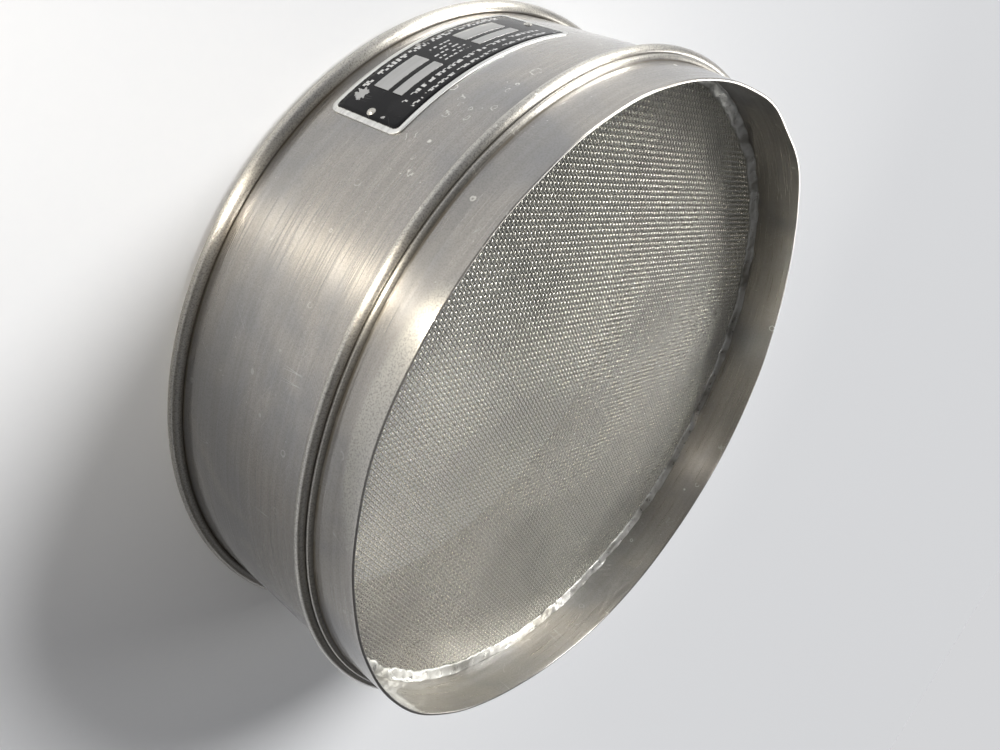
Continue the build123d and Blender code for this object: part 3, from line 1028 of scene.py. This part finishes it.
@dataclass
class SolderRing:
    """Solder run by hand round the edge of the cloth, uneven in width and height, with a few lumps."""

    effects: Effects
    skirt_inner: float = 100.44
    toe: float = 97.3
    cloth_top: float = 54.95
    steps: int = 960
    lumps: tuple[tuple[float, float, float], ...] = (
        (-76.0, 0.5, 1.2), (-62.0, 0.55, 1.4), (20.0, 0.4, 1.0), (118.0, 0.35, 1.5), (170.0, 0.4, 1.2)
    )

    def build(self) -> Object:
        """Makes the mesh.

        The toe's radius and the crown's height are sums of seeded waves round the turn, and each lump adds a narrow
        bell. The section runs from the toe over the crown to the skirt, through the joint and back under the cloth.
        """
        angle = full_turn(self.steps)
        waves = ((range(2, 14), 3), (range(14, 60), 4), (range(60, 190), 6), (range(10, 90), 9))
        slow, mid, fine, other = (ripple(angle, orders, seed) for orders, seed in waves)
        lump = sum(size * bell(angle, at, wide) for at, size, wide in self.lumps)
        toe = self.toe + 0.28 * slow + 0.22 * mid + 0.1 * fine - 0.5 * lump
        crown = 0.14 * mid + 0.07 * fine + 0.1 * slow + lump
        climb = 0.18 * slow + 0.16 * other
        inner, still = self.skirt_inner, 0 * angle
        rows = [
            (toe, still - 0.35), (toe + 0.12, 0.1 * crown - 0.02), (toe + 0.5, 0.22 + 0.35 * crown),
            (toe + 1.1, 0.45 + 0.8 * crown), (toe * 0.35 + inner * 0.65 - 0.1, 0.68 + crown),
            (inner - 0.5 + still, 0.9 + 0.8 * crown), (inner - 0.16 + still, 1.12 + 0.5 * crown + 0.5 * climb),
            (inner + 0.03 + still, 1.3 + 0.5 * crown + climb), (inner + 0.25 + still, still + 0.5),
            (inner + 1.0 + still, still + 0.45), (inner + 1.22 + still, still - 0.3),
            (inner + 1.2 + still, 0.3 * climb - 2.2), (inner + 0.95 + still, 0.2 * other - 1.75),
            (inner + 0.5 + still, 0.2 * mid - 1.3), (inner - 0.1 + still, still - 0.95),
            (inner - 0.9 + 0.2 * mid, still - 0.82), (inner - 1.3 + 0.2 * mid, still - 0.6),
        ]  # radius, and height over the cloth
        radius, rise = np.array(rows).transpose(1, 0, 2)
        points = polar(radius, angle, self.cloth_top + rise)[::-1]
        across, along = np.linspace(0, 0.2, len(rows) + 1), np.linspace(0, 1, self.steps + 1)
        share = np.stack(np.broadcast_arrays(across[:, None], along), -1)
        return make_piece("solder_bead", [grid_shell(points, share, True, True)], weld=0.0005)

    def dress(self, piece: Object) -> None:
        """Finishes the solder."""
        install(piece, "solder_ring", RunSolder("run_solder").dress(self.effects))


@dataclass
class Nameplate:
    """The curved plate: a rounded raised border round an enamelled field with four bare panels."""

    effects: Effects
    wall: float = 102.46
    field: Bar = Bar(0.0, 20.2, 31.49, 12.4)
    corner: float = 2.6
    border: float = 1.4
    thickness: float = 0.35
    relief: float = 0.15
    panels: tuple[Bar, ...] = tuple(
        Bar(x, z, 7.25, half) for z, half in ((16.15, 2.55), (22.0, 1.6)) for x in (13.7, -13.7)
    )
    bars: tuple[Bar, ...] = (
        Bar(-1.0, 11.2, 24.5, 0.8), *(Bar(0.0, 15.0 + 1.8 * row, 4.6, 0.3) for row in range(5)),
        Bar(-1.5, 25.9, 24.0, 0.62), Bar(-1.5, 28.9, 24.0, 0.5),
    )
    chips: tuple[Bar, ...] = (
        Bar(24.2, 12.6, 1.9, 1.5), Bar(-27.5, 30.0, 0.5, 0.4), Bar(2.0, 9.6, 0.5, 0.3), Bar(28.6, 24.5, 0.3, 0.5)
    )

    def outline(self, half_x: float, half_z: float, corner: float, counts: Sequence[int]) -> Array:
        """Points round a rounded rectangle, counter-clockwise from the right side.

        Args:
            half_x: half its length.
            half_z: half its height.
            corner: its corner radius.
            counts: points on a corner, on a long side and on a short side.

        Returns:
            The points, as many at every size.
        """
        arcs = [
            arc_points((sx * (half_x - corner), sz * (half_z - corner)), corner, 90 * number, 90, counts[0])
            for number, (sx, sz) in enumerate(((1, 1), (-1, 1), (-1, -1), (1, -1)))
        ]
        spots = []
        for number, (here, after) in enumerate(zip(arcs, arcs[1:] + arcs[:1])):
            spots += [here, line_points(here[-1], after[0], counts[1 + number % 2])]
        return np.concatenate(spots)

    def slab(
        self, bar: Bar, corner: float, steps: Sequence[tuple[float, float]], rings: int, counts: Sequence[int]
    ) -> Shell:
        """Makes a closed rounded slab bent to the wall.

        Rings run from the spine at the back out to the outline, through the given steps of inset and height, and back
        in to the spine at the front. A flat place x lands at the azimuth whose sine is x over the wall's radius.

        Args:
            bar: middle and half sizes.
            corner: corner radius of the outline.
            steps: inset from the outline and height over the wall of each ring between back and front.
            rings: how many rings cross each face.
            counts: points on a corner, on a long side and on a short side.

        Returns:
            The slab.
        """
        loops = [
            self.outline(bar.half_x - inset, bar.half_z - inset, max(corner - inset, 0.12), counts)
            for inset, _ in steps
        ]
        levels = [height for _, height in steps]
        reach = bar.half_x - bar.half_z
        shares = ((np.arange(rings) + 1) / rings)[:, None, None]
        back, front = (
            loop + shares * (np.clip(loop, (-reach, 0), (reach, 0)) - loop) for loop in (loops[0], loops[-1])
        )
        spots = np.concatenate([back[::-1], loops, front])
        heights = np.array([levels[0]] * rings + levels + [levels[-1]] * rings)[:, None]
        x, z = spots[..., 0] + bar.x, spots[..., 1] + bar.z
        points = polar(self.wall + heights, np.arcsin(x / self.wall) - np.pi / 2, z)
        flat = np.stack([x / 80 + 0.5, z / 80 + 0.1], -1)
        return grid_shell(points, np.concatenate([flat, flat[:, :1]], 1), False, True)

    def build(self) -> Object:
        """Makes the plate and its four panels as one mesh."""
        crown = self.thickness + self.relief
        half, root = self.border / 2, 0.05
        swell = [
            (half - half * math.cos(turn), self.thickness - root + (self.relief + root) * math.sin(turn))
            for turn in np.linspace(0, math.pi, 11)
        ]
        steps = [(0.0, 0.0), *swell, (self.border + 0.02, self.thickness)]
        shells = [self.slab(self.field, self.corner, steps, 8, (7, 60, 20))]
        rise = [(0.0, self.thickness - 0.1), (0.0, crown - 0.08), (0.03, crown - 0.02), (0.1, crown)]
        shells += [self.slab(panel, 0.3, rise, 2, (4, 20, 6)) for panel in self.panels]
        return make_piece("enamelled_plate", shells, weld=0.002)

    def dress(self, piece: Object) -> None:
        """Finishes the plate."""
        finish = EnamelledPlate(
            "plate_enamel", self.field, self.corner, self.border, self.panels, self.bars, self.chips
        )
        install(piece, "nameplate", finish.dress(self.effects))


# Stage

@dataclass(frozen=True)
class Lamp:
    """A soft rectangular lamp: places and sizes in metres, power in watts, spread in degrees."""

    name: str
    at: Colour
    aim: Colour
    size: tuple[float, float]
    power: float
    colour: Colour
    spread: float = 180.0

    def hang(self) -> None:
        """Hangs the lamp."""
        data = bpy.data.lights.new(self.name, "AREA")
        data.shape = "RECTANGLE"
        data.size, data.size_y = self.size
        data.spread = math.radians(self.spread)
        data.energy, data.color = self.power, self.colour
        aim_lamp(data, Vector(self.at) - Vector(self.aim)).location = self.at


def aim_lamp(data: bpy.types.Light, back: Vector) -> Object:
    """Puts a lamp in the scene.

    Args:
        data: the lamp.
        back: from what it lights towards it.

    Returns:
        Its object, at the origin.
    """
    lamp = bpy.data.objects.new(data.name, data)
    lamp.rotation_mode = "QUATERNION"
    lamp.rotation_quaternion = back.to_track_quat("Z", "Y")
    bpy.context.scene.collection.objects.link(lamp)
    return lamp


@dataclass
class Stage:
    """Pale floor, soft lamps and the camera."""

    floor_colour: Colour = (0.76, 0.775, 0.80)
    fibre_colour: Colour = (0.66, 0.69, 0.74)
    floor_reach: float = 6.0
    horizon: Colour = (0.66, 0.665, 0.68)
    dim_side: Colour = (0.015, 0.012, 0.008)
    pale_side: Colour = (0.34, 0.35, 0.38)
    overhead: Colour = (0.20, 0.202, 0.21)
    sun_azimuth: float = -156.0
    sun_height: float = 37.0
    sun_strength: float = 3.6
    sun_spread: float = 26.0
    sun_colour: Colour = (1.0, 0.985, 0.96)
    lamps: tuple[Lamp, ...] = (
        Lamp("key", (0.247, -0.34, 0.055), (0.0, 0.0, 0.032), (0.03, 0.035), 0.075, (1.0, 0.93, 0.80), 55.0),
        Lamp("high_key", (0.215, -0.29, 0.25), (0.0, 0.0, 0.05), (0.04, 0.04), 0.26, (1.0, 0.95, 0.88)),
        Lamp("back", (-0.50, 0.34, 0.34), (-0.03, 0.0, 0.05), (0.36, 0.26), 0.10, (1.0, 0.98, 0.93), 40.0),
    )
    camera_at: Colour = (0.14087, -0.19459, 0.17995)
    camera_forward: Colour = (-0.477765, 0.694032, -0.538573)
    camera_up: Colour = (-0.55926, -0.713076, -0.422789)
    lens: float = 31.3589

    def floor(self) -> None:
        """Lays the floor: a flat square under the rim."""
        reach = self.floor_reach
        mesh = bpy.data.meshes.new("floor")
        corners = [(-reach, -reach, 0), (reach, -reach, 0), (reach, reach, 0), (-reach, reach, 0)]
        mesh.from_pydata(corners, [], [(0, 1, 2, 3)])
        floor = bpy.data.objects.new("floor", mesh)
        bpy.context.scene.collection.objects.link(floor)
        material, s, shader = new_material("floor_paper")
        fibre = s.remap(s.noise(s.scaled(s.where(), 300.0), 1.0, 3.0), 0.3, 0.7, 0.0, 0.05)
        s.feed(shader.inputs["Base Color"], s.mix(fibre, self.floor_colour, self.fibre_colour))
        s.feed(shader.inputs["Roughness"], 0.9)
        s.feed(shader.inputs["Specular IOR Level"], 0.2)
        mesh.materials.append(material)

    def sky(self) -> None:
        """Lights the room softly: a pale band at the horizon, over it one pale side and one dim, and a plain overhead.

        The camera itself sees only the horizon's colour.
        """
        world = bpy.data.worlds.new("studio")
        world.use_nodes = True
        bpy.context.scene.world = world
        world.node_tree.nodes.clear()
        s = Sheet(world.node_tree)
        x, y, up = s.split(s.add("TexCoord").outputs["Generated"])
        turn = math.radians(self.sun_azimuth)
        toward = s.times_plus(x, math.cos(turn), s.times(y, math.sin(turn)))
        sides = s.mix(s.remap(toward, -0.7, 0.8), self.dim_side, self.pale_side)
        tone = s.mix(s.remap(up, 0.07, 0.17), self.horizon, s.mix(s.remap(up, 0.35, 0.95), sides, self.overhead))
        seen = s.mix(s.add("LightPath").outputs["Is Camera Ray"], tone, self.horizon)
        glow = s.add("Background", {"Color": seen, "Strength": 1.0})
        s.add("OutputWorld", {"Surface": glow.outputs[0]})

    def sun(self) -> None:
        """Shines a soft even light over the whole floor from one side."""
        data = bpy.data.lights.new("sun", "SUN")
        data.energy, data.color = self.sun_strength, self.sun_colour
        data.angle = math.radians(self.sun_spread)
        turn, rise = math.radians(self.sun_azimuth), math.radians(self.sun_height)
        aim_lamp(data, Vector((math.cos(turn) * math.cos(rise), math.sin(turn) * math.cos(rise), math.sin(rise))))

    def camera(self) -> None:
        """Sets the camera beside the skirt, rolled so that the sieve seems to stand on its edge."""
        forward = Vector(self.camera_forward).normalized()
        right = forward.cross(Vector(self.camera_up)).normalized()
        data = bpy.data.cameras.new("camera")
        data.lens, data.sensor_width, data.sensor_fit = self.lens, 36.0, "HORIZONTAL"
        data.clip_start, data.clip_end = 0.005, 50.0
        camera = bpy.data.objects.new("camera", data)
        frame = Matrix((right, right.cross(forward), -forward)).transposed().to_4x4()
        frame.translation = self.camera_at
        camera.matrix_world = frame
        bpy.context.scene.collection.objects.link(camera)
        bpy.context.scene.camera = camera

    def build(self) -> None:
        """Sets the whole stage: a low warm key in front, a faint one over it, and a soft lamp for the wire tops."""
        self.floor()
        self.sky()
        self.sun()
        for lamp in self.lamps:
            lamp.hang()
        self.camera()
        bpy.context.scene.view_settings.view_transform = "Standard"


def dress_pins(frame: dict, effects: Effects) -> None:
    """Gives the two drive pins their finish; their solids stay.

    Args:
        frame: the loaded model.
        effects: the shared effects.
    """
    material = PinHead("pin_head").dress(effects)
    for name in ("rivet_left", "rivet_right"):
        node = frame["nodes"][name]
        node.data.materials.clear()
        node.data.materials.append(material)
        log.info("%s keeps its solid", name)


def main() -> None:
    """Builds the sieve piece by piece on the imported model."""
    logging.basicConfig(level=logging.INFO, format="%(name)s: %(message)s")
    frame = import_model()
    effects = Effects()
    Stage().build()
    for kind in (SpunBody, NestingSkirt, WovenCloth, SolderRing, Nameplate):
        assembly = kind(effects)
        assembly.dress(assembly.build())
    dress_pins(frame, effects)


if __name__ == "__main__":
    main()
